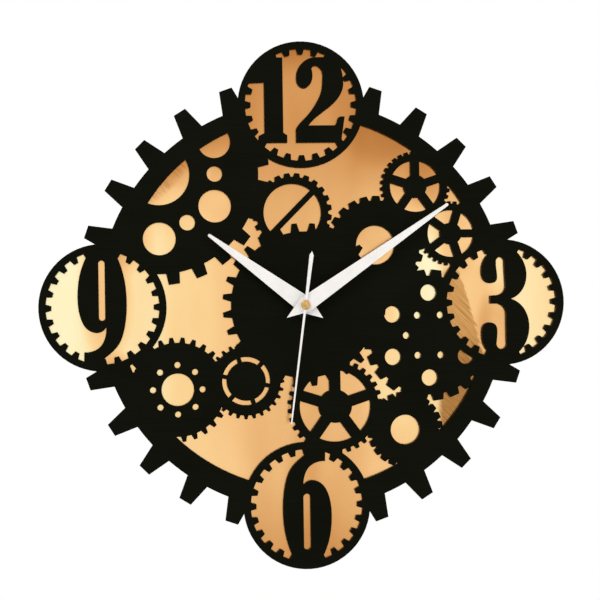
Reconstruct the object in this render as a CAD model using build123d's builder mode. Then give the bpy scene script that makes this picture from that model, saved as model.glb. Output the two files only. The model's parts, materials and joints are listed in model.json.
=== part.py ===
"""Wooden gear wall clock: a fretwork dial on a gold sheet, three hands and a battery movement.

The dial stands in XZ with +Z up and faces -Y. The origin is on the hands' axis, in the wall
plane that the back of the movement touches. Depths are measured from that plane to the front.
All sizes are in millimetres and all angles in degrees.
"""
import os
from collections import namedtuple
from math import asin, cos, degrees, pi, radians, sin

from build123d import *

os.makedirs("parts", exist_ok=True)

# Dial outline: a toothed ring with a numeral disc at each quarter
disc_rim = 4.0  # round each numeral window
disc_inset = 2.8  # disc centres inside the ring's root circle
ring_tip_r = 130.0
ring_root_r = 116.8
ring_rim = 10.8
ring_teeth = 28
ring_tooth_root_w = 12.8
ring_tooth_tip_w = 7.4
opening_r = ring_root_r - ring_rim
disc_circle_r = ring_root_r - disc_inset
opening_x = 1.3  # the opening lies a little off the ring's centre
opening_z = 1.4
smallest_opening = 5.5  # area, smaller slivers between gear shapes stay closed

# Numeral windows: round openings with teeth that point inwards
window_r = 32.0
disc_r = window_r + disc_rim
window_teeth = 24
window_tooth_length = 3.2
window_tooth_root_w = 4.4
window_tooth_tip_w = 2.6
numeral_unit = window_r / 32  # numerals are drawn for a window 32 units in radius

# Sheets
panel_t = 3.0
backing_t = 2.0
backing_margin = 4.0  # gold sheet beyond the openings' edge, hidden behind the rim
disc_margin = 2.0  # gold sheet short of each disc's edge

# Fits
running_gap = 0.06  # radial, turning pieces
seat_gap = 0.03  # radial, pressed or clamped pieces
play = 0.4  # along the hands' axis, between turning pieces
side_gap = 0.2  # between a piece and the pocket it drops into

# Movement housing
case_wall = 1.6
case_corner_r = 3.0
case_edge = 0.5
cover_ledge = 0.6
cover_t = 1.2
plate_t = 1.2
divider_t = 0.8
component_room = 2.9  # behind the circuit board
post_r = 1.5
post_inset = 1.2
pin_r = 0.8
pin_length = 1.0
boss_wall = 0.9
pivot_length = 1.0

# Threaded bush and what it clamps
bush_r = 4.0
thread_pitch = 0.75
thread_depth = 0.35
bush_flange_r = 6.0
bush_flange_t = 0.8
bush_end = 0.8  # bush showing in front of the nut
hanger_t = 1.0
gasket_r = 12.0
gasket_t = 1.0
washer_r = 7.0
washer_t = 0.5
nut_flats = 11.0
nut_t = 2.5
nut_edge = 0.4

# Hanger strip
hanger_w = 18.0
hanger_clear = 10.0  # hanging hole's centre above the movement
hanger_drop = 9.0
hanging_hole_r = 3.0

# Hands
hand_t = 0.6
hand_gap = 1.6  # clear depth between two hands
hour_length = 67.5
minute_length = 99.8
hand_tail = 12.8
hour_half_w = 5.0
minute_half_w = 4.6
hand_tip_w = 1.6
hand_tip_round = 0.45  # of the tip's width
hand_shoulder_r = 3.5
second_length = 67.7
second_tail = 30.4
second_root_w = 1.35
second_tip_w = 0.8
second_arrow_w = 2.35
second_arrow_length = 2.2
second_hub_r = 2.65
second_hub_t = 1.0
second_sleeve_r = 1.1
hour_angle = 306.7  # clockwise from twelve, at rest
minute_angle = 55.7
second_angle = 187.7

# Arbors and tubes
second_arbor_r = 0.5
minute_tube_r = 1.5
hour_tube_r = 2.5
wheel_arbor_r = 0.5
rotor_arbor_r = 0.4
motion_post_r = 0.6
knob_arbor_r = 1.2

# Movement wheels: teeth, modules and bearings of the arbors
wheel_t = 1.0
rotor_pinion_teeth = 8
intermediate_wheel_teeth = 48
intermediate_pinion_teeth = 10
second_wheel_teeth = 50
second_pinion_teeth = 8
third_wheel_teeth = 60
third_pinion_teeth = 8
centre_wheel_teeth = 64
minute_pinion_teeth = 12
motion_wheel_teeth = 36
motion_pinion_teeth = 10
hour_wheel_teeth = 40
knob_pinion_teeth = 12
rotor_module = 0.25
second_module = 0.36
centre_module = 0.3
motion_module = 0.375
tooth_addendum = 0.55  # in modules
tooth_dedendum = 0.80
tooth_tip_share = 0.22  # of the pitch
tooth_root_share = 0.50
tooth_sink = 0.2  # share of a tooth that starts inside the disc it stands on
third_bearing = 40.0
intermediate_bearing = 110.0
rotor_bearing = 100.0
motion_bearing = 190.0
knob_bearing = 165.0

# Step motor
magnet_r = 3.0
magnet_t = 2.4
magnet_air_gap = 0.4
stator_t = 1.0
stator_bar = 5.0
stator_leg_w = 2.4
pole_half_w = 4.5
pole_rim = 1.0
core_w = 2.0
coil_length = 10.0
coil_r = 2.3
bobbin_r = 1.6
bobbin_flange_r = 2.7
bobbin_flange_t = 0.6

# Setting knob
knob_r = 5.8
knob_t = 2.0
knob_recess = 0.4
knob_ribs = 24
knob_rib_r = 0.35
knob_hole_gap = 0.5

# Battery and contacts
battery_r = 7.0
battery_length = 49.5
battery_nub_r = 2.7
battery_nub_t = 1.0
battery_edge = 0.6
battery_sink = 0.7  # behind the battery, to the wall
contact_t = 0.3
contact_inset = 0.1
contact_room = 1.0  # above the battery, for the contact strips
contact_strip_w = 4.0
contact_tail_w = 2.5
contact_tail_lap = 3.0
contact_plate_w = 8.0
contact_plate_h = 12.0
positive_tail_inset = 3.5  # from the bay's right end to the middle of the tail
negative_tail_inset = 8.5
spring_r = 3.0
spring_t = 1.1
finger_notch_w = 16.0
finger_notch_depth = 9.0

# Circuit board
board_t = 0.8
board_w = 22.0
board_h = 12.0
board_leg_w = 10.0
board_edge_gap = 0.4
board_pin_inset = 2.2
chip_r = 3.2
chip_t = 1.2
crystal_r = 1.0
crystal_length = 6.0

FretGear = namedtuple("FretGear", "x z teeth root_r tip_r root_w tip_w turn")
fret_unit = opening_r / 106  # gear shapes are drawn for an opening 106 units in radius


def fret_gear(x, z, teeth, root_r, tip_r, root_w, tip_w, turn):
    """A gear shape of the fretwork, sized from its drawing."""
    place = (x * fret_unit, z * fret_unit)
    sizes = [size * fret_unit for size in (root_r, tip_r, root_w, tip_w)]
    return FretGear(*place, teeth, *sizes, turn)


# Gear shapes cut in the fretwork, named by where they lie on the dial
central_gear = fret_gear(0.3, 0.1, 28, 41.7, 46.5, 4.8, 2.7, 6.43)
upper_left_gear = fret_gear(-81.5, 75.0, 24, 56.5, 62.8, 7.6, 6.3, 7.5)
slotted_gear = fret_gear(-5.8, 52.5, 24, 20.5, 22.6, 3.9, 2.7, 7.5)
plain_gear = fret_gear(41.4, 33.6, 24, 25.5, 28.1, 5.1, 3.7, 13.3)
upper_spoked_gear = fret_gear(64.9, 66.9, 32, 18.5, 20.0, 2.5, 1.7, 3.7)
right_spoked_gear = fret_gear(85.0, 39.7, 32, 17.0, 18.5, 2.2, 1.5, 2.1)
drilled_gear = fret_gear(71.6, -18.3, 24, 34.0, 37.6, 6.9, 5.3, 7.5)
lower_spoked_gear = fret_gear(17.0, -57.9, 32, 24.8, 27.1, 2.9, 2.0, 5.4)
lower_right_gear = fret_gear(57.0, -72.0, 24, 19.2, 21.6, 4.5, 3.2, 7.4)
lower_left_gear = fret_gear(-72.3, -47.0, 28, 26.6, 29.6, 3.4, 1.9, 6.6)
bridged_gear = fret_gear(-33.5, -42.8, 28, 19.5, 21.6, 2.4, 1.3, 11.9)
fret_gears = (
    central_gear,
    upper_left_gear,
    slotted_gear,
    plain_gear,
    upper_spoked_gear,
    right_spoked_gear,
    drilled_gear,
    lower_spoked_gear,
    lower_right_gear,
    lower_left_gear,
    bridged_gear,
)

# Holes in the gear shapes
upper_left_hub_hole_r = 17.5
upper_left_hole_r = 9.3
upper_left_hole_reach = 36.5
upper_left_small_hole_r = 4.45
upper_left_small_hole_reach = 31.7
slotted_hole_r = 16.5
slotted_bar_w = 3.3
slotted_bar_angle = 45
plain_hole_r = 11.1
upper_spoked_rim_r = 14.6
upper_spoked_hub_r = 6.6
upper_spoke_w = 4.9
right_spoked_rim_r = 13.4
right_spoked_hub_r = 6.2
right_spoke_w = 4.5
drilled_hole_r = 4.7
drilled_hole_reach = 24.3
drilled_small_hole_r = 2.0
drilled_small_hole_reach = 13.2
lower_spoked_rim_r = 20.3
lower_spoked_hub_r = 9.5
lower_spoke_w = 6.3
lower_right_hole_r = 8.45
lower_left_hole_r = 9.2
lower_left_small_hole_r = 1.75
lower_left_small_hole_reach = 14.0
bridged_slot_outer_r = 13.7
bridged_slot_inner_r = 11.1
bridge_w = 2.4
bridge_turn = -12
closed_spots = ((-25.4, 87.5), (62.5, 16.3), (67.2, 45.2))  # in the drawing's units
closed_spot_r = 3.0
spokes = 5
quarter_turns = (0, 90, 180, 270)

# Movement case, sized to hold the battery and the stack of wheels
case_w = (
    battery_length + battery_nub_t + 2 * side_gap + spring_t
    + 2 * (contact_inset + contact_t) + 2 * case_wall
)
wheel_step = wheel_t + play
train_stack = 6 * wheel_step + play + plate_t + board_t + component_room + cover_t
battery_stack = 2 * battery_r + side_gap + battery_sink
case_depth = case_wall + max(train_stack, battery_stack)

# Depths of the sheets and of the parts on the bush, from the wall to the front
hanger_rear = case_depth
gasket_rear = hanger_rear + hanger_t
backing_rear = gasket_rear + gasket_t
panel_rear = backing_rear + backing_t
washer_rear = panel_rear + panel_t
nut_rear = washer_rear + washer_t
bush_front = nut_rear + nut_t + bush_end
hour_hand_rear = bush_front + 2 * play
minute_hand_rear = hour_hand_rear + hand_t + hand_gap
second_hand_rear = minute_hand_rear + hand_t + hand_gap
hour_tube_front = hour_hand_rear + hand_t + side_gap
minute_tube_front = minute_hand_rear + hand_t + side_gap
second_hub_rear = second_hand_rear + hand_t
second_arbor_front = second_hub_rear + second_hub_t / 2

# Depths of the wheels, counted back from the floor of the case
case_floor = case_depth - case_wall
hour_wheel_rear = case_floor - wheel_step
motion_wheel_rear = hour_wheel_rear - wheel_step
centre_wheel_rear = motion_wheel_rear - wheel_step
third_wheel_rear = centre_wheel_rear - wheel_step
second_wheel_rear = third_wheel_rear - wheel_step
intermediate_wheel_rear = second_wheel_rear - wheel_step
plate_front = intermediate_wheel_rear - play
plate_rear = plate_front - plate_t
pivot_rear = plate_rear + side_gap / 2
board_rear = plate_rear - board_t
tail_rear = board_rear - contact_t
magnet_rear = second_wheel_rear
stator_rear = magnet_rear + (magnet_t - stator_t) / 2
stator_middle = stator_rear + stator_t / 2
pinion_lap = side_gap / 2  # pinion longer than the wheel it meshes with

# Bays of the case, seen from the front
case_half = case_w / 2
cover_half = case_half - case_wall
train_half = cover_half - cover_ledge
hanger_rise = case_half + hanger_clear
battery_z = -cover_half + side_gap + battery_r
battery_depth = case_floor - side_gap - battery_r
battery_bay_top = battery_z + battery_r + contact_room
train_bay_bottom = battery_bay_top + divider_t
contact_face = cover_half - contact_inset - contact_t
battery_right = contact_face - side_gap - battery_nub_t
positive_tail_x = cover_half - positive_tail_inset
negative_tail_x = cover_half - negative_tail_inset
strip_top = battery_bay_top - contact_inset / 2
board_right = train_half - side_gap - board_edge_gap
board_bottom = train_bay_bottom + side_gap + board_edge_gap


def polar(reach, angle, start=(0, 0)):
    """The point at a reach and an angle from a start point."""
    return (start[0] + reach * cos(radians(angle)), start[1] + reach * sin(radians(angle)))


def facing(depth):
    """The plane at a depth in front of the wall, drawn on as seen from the front."""
    return Plane.XZ.offset(depth)


def save(piece, name):
    """Label a finished piece and write it to its own file."""
    piece.part.label = name
    export_step(piece.part, f"parts/{name}.step")


def toothed_face(teeth, root_r, tip_r, root_w, tip_w, turn=0):
    """A disc with straight-sided teeth, one of them centred at the angle turn."""
    sunk_r = root_r - (tip_r - root_r) * tooth_sink
    sunk_w = root_w + (root_w - tip_w) * tooth_sink
    sunk_half = degrees(asin(sunk_w / 2 / sunk_r))
    tip_half = degrees(asin(tip_w / 2 / tip_r))
    corners = []
    for number in range(teeth):
        angle = turn + number * 360 / teeth
        corners += [
            polar(sunk_r, angle - sunk_half),
            polar(tip_r, angle - tip_half),
            polar(tip_r, angle + tip_half),
            polar(sunk_r, angle + sunk_half),
        ]
    with BuildSketch() as face:
        Circle(root_r)
        Polygon(*corners, align=None)
    return face.sketch


def rod(radius, rear, front, at=(0, 0), mode=Mode.ADD):
    """A round rod between two depths, added to the current piece or cut from it."""
    with BuildSketch(facing(rear)) as section:
        with Locations(at):
            Circle(radius)
    extrude(section.sketch, amount=front - rear, mode=mode)


def toothed_rod(face, rear, length, at=(0, 0)):
    """A toothed face carried forward from a depth, added to the current piece."""
    with BuildSketch(facing(rear)) as section:
        with Locations(at):
            add(face)
    extrude(section.sketch, amount=length)


def block(left, right, bottom, top, rear, front, mode=Mode.ADD):
    """A square-edged block between its sides, added to the current piece or cut from it."""
    with BuildSketch(facing(rear)) as section:
        with Locations((left, bottom)):
            Rectangle(right - left, top - bottom, align=Align.MIN)
    extrude(section.sketch, amount=front - rear, mode=mode)


def contact(left, right, tail_x):
    """A bent contact: an end plate, a strip under the divider and a tail on the circuit board."""
    block(left, right, strip_top - contact_plate_h, strip_top, tail_rear, tail_rear + contact_plate_w)
    strip_left = min(left, tail_x - contact_tail_w / 2)
    strip_right = max(right, tail_x + contact_tail_w / 2)
    block(strip_left, strip_right, strip_top - contact_t, strip_top, tail_rear, tail_rear + contact_strip_w)
    block(
        tail_x - contact_tail_w / 2,
        tail_x + contact_tail_w / 2,
        strip_top - contact_t,
        board_bottom + contact_tail_lap,
        tail_rear,
        board_rear,
    )


def train_face(teeth, module, turn):
    """The outline of a movement wheel, with short teeth that leave room to run freely."""
    pitch = pi * module
    root_r = module * (teeth / 2 - tooth_dedendum)
    tip_r = module * (teeth / 2 + tooth_addendum)
    return toothed_face(
        teeth, root_r, tip_r, tooth_root_share * pitch, tooth_tip_share * pitch, turn
    )


def mating_turn(bearing, turn, teeth, mate_teeth):
    """The turn of a wheel that meshes, at a bearing, with one that is already turned."""
    passed = ((bearing - turn) * teeth / 360) % 1
    return bearing + 180 - (0.5 - passed) * 360 / mate_teeth


def hand_face(length, half_w, bore_r):
    """A kite-shaped hand that points up, with its bore at the origin."""
    with BuildSketch() as face:
        with BuildLine():
            Polyline(
                (-hand_tip_w / 2, length),
                (-half_w, 0),
                (0, -hand_tail),
                (half_w, 0),
                (hand_tip_w / 2, length),
                close=True,
            )
        make_face()
        fillet(face.vertices().group_by(Axis.Y)[1], hand_shoulder_r)
        fillet(face.vertices().group_by(Axis.Y)[-1], hand_tip_round * hand_tip_w)
        Circle(bore_r, mode=Mode.SUBTRACT)
    return face.sketch


def second_hand_face():
    """A needle that points up, with a tail that widens to a short arrow."""
    arrow_y = second_arrow_length - second_tail
    half_outline = [
        (second_tip_w / 2, second_length),
        (second_root_w / 2, 0),
        (second_arrow_w / 2, arrow_y),
    ]
    mirrored = [(-x, y) for x, y in reversed(half_outline)]
    with BuildSketch() as face:
        with BuildLine():
            Polyline(*half_outline, (0, -second_tail), *mirrored, close=True)
        make_face()
        Circle(second_hub_r - side_gap)
        Circle(second_sleeve_r + seat_gap, mode=Mode.SUBTRACT)
    return face.sketch


def spoked_openings(rim_r, hub_r, count, width, turn):
    """The openings between a rim, a hub and straight spokes."""
    with BuildSketch() as openings:
        Circle(rim_r)
        Circle(hub_r, mode=Mode.SUBTRACT)
        with PolarLocations(0, count, start_angle=turn):
            Rectangle(rim_r, width, align=(Align.MIN, Align.CENTER), mode=Mode.SUBTRACT)
    return openings.sketch


def numeral_point(x, z):
    """A point of a numeral, from the centre of its window."""
    return (x * numeral_unit, z * numeral_unit)


def numeral_curve(*points):
    """A smooth stretch of a numeral's outline."""
    return Spline(*[numeral_point(*point) for point in points])


def numeral_arc(*points):
    """A round stretch of a numeral's outline, through three points."""
    return ThreePointArc(*[numeral_point(*point) for point in points])


def numeral_run(*points):
    """A straight-sided stretch of a numeral's outline."""
    return Polyline(*[numeral_point(*point) for point in points])


def twelve():
    """The figures 1 and 2, both running into the ring round the window."""
    with BuildSketch() as figures:
        with BuildLine():
            numeral_run(
                (-10.3, 26.9), (-10.3, -16.0), (-8.1, -17.4), (-8.1, -21.6), (-24.5, -21.6),
                (-24.2, -17.6), (-20.9, -16.0), (-20.9, 12.8), (-34.0, 12.3), (-34.0, 26.9),
                (-10.3, 26.9),
            )
        make_face()
        with BuildLine():
            numeral_run((23.6, -21.6), (-2.9, -21.6), (-2.9, -13.8))
            numeral_curve(
                (-2.9, -13.8), (-1.6, -11.6), (3.0, -6.8), (8.6, 0.6), (12.0, 8.0), (12.7, 14.0),
                (11.6, 20.6), (8.8, 22.3), (6.2, 20.4),
            )
            numeral_curve(
                (6.2, 20.4), (6.7, 15.0), (4.9, 11.0), (1.8, 9.5), (-1.2, 11.2), (-2.4, 15.8),
                (-1.3, 20.6), (2.5, 25.0), (8.5, 27.0),
            )
            numeral_run((8.5, 27.0), (20.0, 27.0), (22.0, 24.0))
            numeral_curve(
                (22.0, 24.0), (24.1, 16.5), (24.0, 9.0), (20.0, 2.0), (11.5, -5.0), (4.2, -11.9)
            )
            numeral_run((4.2, -11.9), (19.2, -11.9))
            numeral_curve((19.2, -11.9), (20.4, -10.2), (21.2, -7.7), (22.8, -6.9))
            numeral_run((22.8, -6.9), (24.9, -6.9), (23.0, -19.5), (23.6, -21.6))
        make_face()
    return figures.sketch


def three():
    """The figure 3, held by the ring at its top and its foot."""
    with BuildSketch() as figure:
        with BuildLine():
            numeral_run((6.5, 34.0), (-6.4, 34.0), (-7.4, 27.8))
            numeral_curve(
                (-7.4, 27.8), (-10.3, 23.6), (-11.5, 18.0), (-9.9, 12.4), (-6.6, 10.9),
                (-3.4, 11.9), (-2.6, 15.5), (-3.1, 22.5),
            )
            numeral_arc((-3.1, 22.5), (-0.6, 25.8), (1.8, 22.5))
            numeral_run((1.8, 22.5), (2.3, 9.5))
            numeral_curve((2.3, 9.5), (1.2, 5.9), (-2.4, 4.0))
            numeral_run((-2.4, 4.0), (-6.6, 3.8), (-6.6, -0.8), (-2.2, -0.9))
            numeral_curve((-2.2, -0.9), (1.2, -3.0), (2.5, -7.5))
            numeral_run((2.5, -7.5), (2.5, -22.8))
            numeral_arc((2.5, -22.8), (-0.5, -26.9), (-3.4, -22.8))
            numeral_curve(
                (-3.4, -22.8), (-2.9, -16.8), (-3.9, -13.0), (-6.8, -11.6), (-10.2, -12.6),
                (-11.8, -18.4), (-11.0, -24.0), (-8.7, -27.9),
            )
            numeral_run((-8.7, -27.9), (-7.8, -34.0), (6.5, -34.0), (7.4, -30.4))
            numeral_curve((7.4, -30.4), (12.2, -25.6), (15.7, -14.0), (12.9, -4.0), (5.4, 1.8))
            numeral_curve((5.4, 1.8), (12.5, 7.8), (14.5, 16.5), (11.7, 25.3), (7.6, 30.0))
            numeral_run((7.6, 30.0), (6.5, 34.0))
        make_face()
    return figure.sketch


NumeralEye = namedtuple("NumeralEye", "x z width length")
six_eye = NumeralEye(0, -9.25, 4.1, 31.9)
nine_eye = NumeralEye(0.35, -9.7, 3.5, 34.0)  # while the figure still stands as a 6


def six(eye):
    """The figure 6 with its narrow eye; turned half round it is the figure 9."""
    with BuildSketch() as figure:
        with BuildLine():
            numeral_curve(
                (5.0, 34.0), (-0.8, 28.6), (-8.2, 21.8), (-12.4, 10.8), (-13.6, -2.0),
                (-12.7, -14.5), (-6.0, -33.5),
            )
            numeral_run((-6.0, -33.5), (6.0, -33.5))
            numeral_curve(
                (6.0, -33.5), (12.4, -19.5), (14.0, -7.0), (12.5, 5.6), (8.5, 12.3), (3.4, 14.2),
                (-1.9, 11.2),
            )
            numeral_curve((-1.9, 11.2), (-1.2, 17.0), (1.8, 22.2), (6.6, 24.7), (10.6, 25.0))
            numeral_run((10.6, 25.0), (10.9, 34.0), (5.0, 34.0))
        make_face()
        with Locations(numeral_point(eye.x, eye.z)):
            SlotOverall(
                eye.length * numeral_unit,
                eye.width * numeral_unit,
                rotation=90,
                mode=Mode.SUBTRACT,
            )
    return figure.sketch


def stays_closed(face):
    """Whether an opening is one that the sheet keeps closed between two gear shapes."""
    middle = face.center()
    return any(
        (middle - Vector(*spot) * fret_unit).length < closed_spot_r for spot in closed_spots
    )


# Arbors of the movement, seen from the front, and the turns that make the wheels mesh
motion_reach = motion_module * (minute_pinion_teeth + motion_wheel_teeth) / 2
hour_module = 2 * motion_reach / (motion_pinion_teeth + hour_wheel_teeth)
third_reach = centre_module * (centre_wheel_teeth + third_pinion_teeth) / 2
third_module = 2 * third_reach / (third_wheel_teeth + second_pinion_teeth)
intermediate_reach = second_module * (second_wheel_teeth + intermediate_pinion_teeth) / 2
rotor_reach = rotor_module * (intermediate_wheel_teeth + rotor_pinion_teeth) / 2
knob_reach = motion_module * (motion_wheel_teeth + knob_pinion_teeth) / 2
motion_at = polar(motion_reach, motion_bearing)
third_at = polar(third_reach, third_bearing)
intermediate_at = polar(intermediate_reach, intermediate_bearing)
rotor_at = polar(rotor_reach, rotor_bearing, intermediate_at)
knob_at = polar(knob_reach, knob_bearing, motion_at)
motion_turn = mating_turn(motion_bearing, 0, minute_pinion_teeth, motion_wheel_teeth)
hour_turn = mating_turn(motion_bearing + 180, 0, motion_pinion_teeth, hour_wheel_teeth)
knob_turn = mating_turn(knob_bearing, motion_turn, motion_wheel_teeth, knob_pinion_teeth)
third_pinion_turn = mating_turn(third_bearing, 0, centre_wheel_teeth, third_pinion_teeth)
second_pinion_turn = mating_turn(third_bearing + 180, 0, third_wheel_teeth, second_pinion_teeth)
intermediate_pinion_turn = mating_turn(
    intermediate_bearing, 0, second_wheel_teeth, intermediate_pinion_teeth
)
rotor_turn = mating_turn(rotor_bearing, 0, intermediate_wheel_teeth, rotor_pinion_teeth)

# Front ends of the arbors, where the bosses of the case hold them
third_boss_rear = motion_wheel_rear + pinion_lap
intermediate_boss_rear = motion_wheel_rear
rotor_boss_rear = magnet_rear + magnet_t + play
knob_boss_rear = hour_wheel_rear + pinion_lap

# Step motor, seen from the front
core_z = train_half - side_gap - bobbin_flange_r
core_top = core_z + core_w / 2
pole_left = rotor_at[0] - pole_half_w
pole_bottom = rotor_at[1] - magnet_r - magnet_air_gap - pole_rim
leg_left = pole_left - coil_length - stator_leg_w

# Posts of the case, pins of the plate and seat of the chip
post_side = train_half - post_inset
plate_posts = [
    (side * post_side, level)
    for side in (-1, 1)
    for level in (train_bay_bottom + post_inset, post_side)
]
stator_posts = [
    (leg_left + stator_leg_w / 2, rotor_at[1]),
    (rotor_at[0] + pole_half_w / 2, core_z - core_w / 4),
]
board_pins = [
    (board_right - board_pin_inset, board_right - board_pin_inset),
    ((positive_tail_x + negative_tail_x) / 2, board_bottom + contact_tail_lap + board_pin_inset),
]
chip_at = (board_right - board_w + board_h / 2, board_right - board_h / 2)

gear_faces = {gear: toothed_face(*gear[2:]).moved(Location((gear.x, gear.z))) for gear in fret_gears}
with BuildSketch() as numeral_discs:
    with PolarLocations(disc_circle_r, len(quarter_turns)):
        Circle(disc_r)

# Fretwork openings between the gear shapes
with BuildSketch() as gaps_between_gears:
    with Locations((opening_x, opening_z)):
        Circle(opening_r)
    add([*gear_faces.values(), numeral_discs.sketch], mode=Mode.SUBTRACT)

# Fretwork openings inside the upper left gear shape, which the ring's rim cuts across
with BuildSketch() as holes_under_rim:
    with Locations((upper_left_gear.x, upper_left_gear.z)):
        Circle(upper_left_hub_hole_r)
        with PolarLocations(upper_left_hole_reach, 3, start_angle=-90, angular_range=180):
            Circle(upper_left_hole_r)
        with PolarLocations(upper_left_small_hole_reach, 2, start_angle=-60, angular_range=120):
            Circle(upper_left_small_hole_r)
    with Locations((opening_x, opening_z)):
        Circle(opening_r, mode=Mode.INTERSECT)

# Fretwork openings inside the other gear shapes
with BuildSketch() as holes_in_gears:
    with Locations((drilled_gear.x, drilled_gear.z)):
        with PolarLocations(drilled_hole_reach, 6, start_angle=90):
            Circle(drilled_hole_r)
    add(numeral_discs.sketch, mode=Mode.SUBTRACT)
    with Locations((slotted_gear.x, slotted_gear.z)):
        Circle(slotted_hole_r)
        Rectangle(2 * slotted_hole_r, slotted_bar_w, slotted_bar_angle, mode=Mode.SUBTRACT)
    with Locations((plain_gear.x, plain_gear.z)):
        Circle(plain_hole_r)
    with Locations((lower_spoked_gear.x, lower_spoked_gear.z)):
        add(spoked_openings(lower_spoked_rim_r, lower_spoked_hub_r, spokes, lower_spoke_w, 90))
    add(gear_faces[central_gear], mode=Mode.SUBTRACT)
    with Locations((drilled_gear.x, drilled_gear.z)):
        with PolarLocations(drilled_small_hole_reach, 5, start_angle=60, angular_range=300):
            Circle(drilled_small_hole_r)
    with Locations((upper_spoked_gear.x, upper_spoked_gear.z)):
        add(spoked_openings(upper_spoked_rim_r, upper_spoked_hub_r, spokes, upper_spoke_w, 90))
    with Locations((right_spoked_gear.x, right_spoked_gear.z)):
        add(spoked_openings(right_spoked_rim_r, right_spoked_hub_r, spokes, right_spoke_w, 0))
    with Locations((lower_right_gear.x, lower_right_gear.z)):
        Circle(lower_right_hole_r)
    with Locations((lower_left_gear.x, lower_left_gear.z)):
        Circle(lower_left_hole_r)
        with PolarLocations(lower_left_small_hole_reach, 8):
            Circle(lower_left_small_hole_r)
    with Locations((bridged_gear.x, bridged_gear.z)):
        add(spoked_openings(bridged_slot_outer_r, bridged_slot_inner_r, 6, bridge_w, bridge_turn))

# One toothed window, drawn as a disc whose own teeth are the slots between the window's teeth
window_inner_r = window_r - window_tooth_length
slot_tip_w = 2 * pi * window_r / window_teeth - window_tooth_root_w
slot_root_w = 2 * pi * window_inner_r / window_teeth - window_tooth_tip_w
window_face = toothed_face(
    window_teeth, window_inner_r, window_r, slot_root_w, slot_tip_w, 180 / window_teeth
)
numerals = (three(), twelve(), six(nine_eye).rotate(Axis.Z, 180), six(six_eye))
window_openings = [
    face.moved(Location(polar(disc_circle_r, angle)))
    for angle, numeral in zip(quarter_turns, numerals)
    for face in (window_face - numeral).faces()
    if face.area > smallest_opening
]
fret_openings = [
    face
    for sketch in (gaps_between_gears, holes_under_rim, holes_in_gears)
    for face in sketch.sketch.faces()
    if face.area > smallest_opening and not stays_closed(face)
]

# Fretwork front panel
with BuildPart() as front_panel:
    with BuildSketch(facing(panel_rear)):
        add(
            toothed_face(
                ring_teeth, ring_root_r, ring_tip_r, ring_tooth_root_w, ring_tooth_tip_w,
                180 / ring_teeth,
            )
        )
        add(numeral_discs.sketch)
        add([*fret_openings, *window_openings], mode=Mode.SUBTRACT)
        Circle(bush_r + seat_gap, mode=Mode.SUBTRACT)
    extrude(amount=panel_t)
save(front_panel, "front_panel")

# Gold sheet behind the openings
with BuildPart() as gold_backing:
    with BuildSketch(facing(backing_rear)):
        Circle(opening_r + backing_margin)
        with PolarLocations(disc_circle_r, len(quarter_turns)):
            Circle(disc_r - disc_margin)
        Circle(bush_r + seat_gap, mode=Mode.SUBTRACT)
    extrude(amount=backing_t)
save(gold_backing, "gold_backing")

# Strip that hangs the clock on a nail, clamped behind the gold sheet
with BuildPart() as hanger_bracket:
    with BuildSketch(facing(hanger_rear)):
        with Locations((0, -hanger_drop)):
            Rectangle(hanger_w, hanger_rise + hanger_drop, align=(Align.CENTER, Align.MIN))
        with Locations((0, hanger_rise)):
            Circle(hanger_w / 2)
            Circle(hanging_hole_r, mode=Mode.SUBTRACT)
        Circle(bush_r + seat_gap, mode=Mode.SUBTRACT)
    extrude(amount=hanger_t)
save(hanger_bracket, "hanger_bracket")

# Rubber ring between the hanger and the gold sheet
with BuildPart() as rubber_gasket:
    with BuildSketch(facing(gasket_rear)):
        Circle(gasket_r)
        Circle(bush_r + seat_gap, mode=Mode.SUBTRACT)
    extrude(amount=gasket_t)
save(rubber_gasket, "rubber_gasket")

# Washer and nut in front of the dial
with BuildPart() as panel_washer:
    with BuildSketch(facing(washer_rear)):
        Circle(washer_r)
        Circle(bush_r + seat_gap, mode=Mode.SUBTRACT)
    extrude(amount=washer_t)
save(panel_washer, "panel_washer")

with BuildPart() as hex_nut:
    with BuildSketch(facing(nut_rear)):
        RegularPolygon(nut_flats / 2, 6, major_radius=False)
        Circle(bush_r + seat_gap, mode=Mode.SUBTRACT)
    extrude(amount=nut_t)
    chamfer(hex_nut.faces().sort_by(Axis.Y)[0].outer_wire().edges(), nut_edge)
save(hex_nut, "hex_nut")

# Brass bush, with its thread drawn as a row of grooves
thread_turns = int((bush_front - case_depth) / thread_pitch)
bush_bore_r = hour_tube_r + running_gap
thread_points = []
for number in range(thread_turns):
    crest_depth = case_depth + number * thread_pitch
    thread_points.append((bush_r, -crest_depth))
    thread_points.append((bush_r - thread_depth, -crest_depth - thread_pitch / 2))
with BuildPart() as threaded_bush:
    with BuildSketch(Plane.XY):
        with BuildLine():
            Polyline(
                (bush_bore_r, -case_floor),
                (bush_flange_r, -case_floor),
                (bush_flange_r, -case_floor - bush_flange_t),
                (bush_r, -case_floor - bush_flange_t),
                *thread_points,
                (bush_r - thread_depth, -bush_front),
                (bush_bore_r, -bush_front),
                close=True,
            )
        make_face()
    revolve(axis=Axis.Y)
save(threaded_bush, "threaded_bush")

# Hour and minute hands
with BuildPart() as hour_hand:
    with BuildSketch(facing(hour_hand_rear)):
        add(hand_face(hour_length, hour_half_w, hour_tube_r + seat_gap), rotation=-hour_angle)
    extrude(amount=hand_t)
save(hour_hand, "hour_hand")

with BuildPart() as minute_hand:
    with BuildSketch(facing(minute_hand_rear)):
        add(
            hand_face(minute_length, minute_half_w, minute_tube_r + seat_gap),
            rotation=-minute_angle,
        )
    extrude(amount=hand_t)
save(minute_hand, "minute_hand")

# Second hand, with a short arrow tail, and the brass cap that carries it
with BuildPart() as second_hand:
    with BuildSketch(facing(second_hand_rear)):
        add(second_hand_face(), rotation=-second_angle)
    extrude(amount=hand_t)
save(second_hand, "second_hand")

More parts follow.
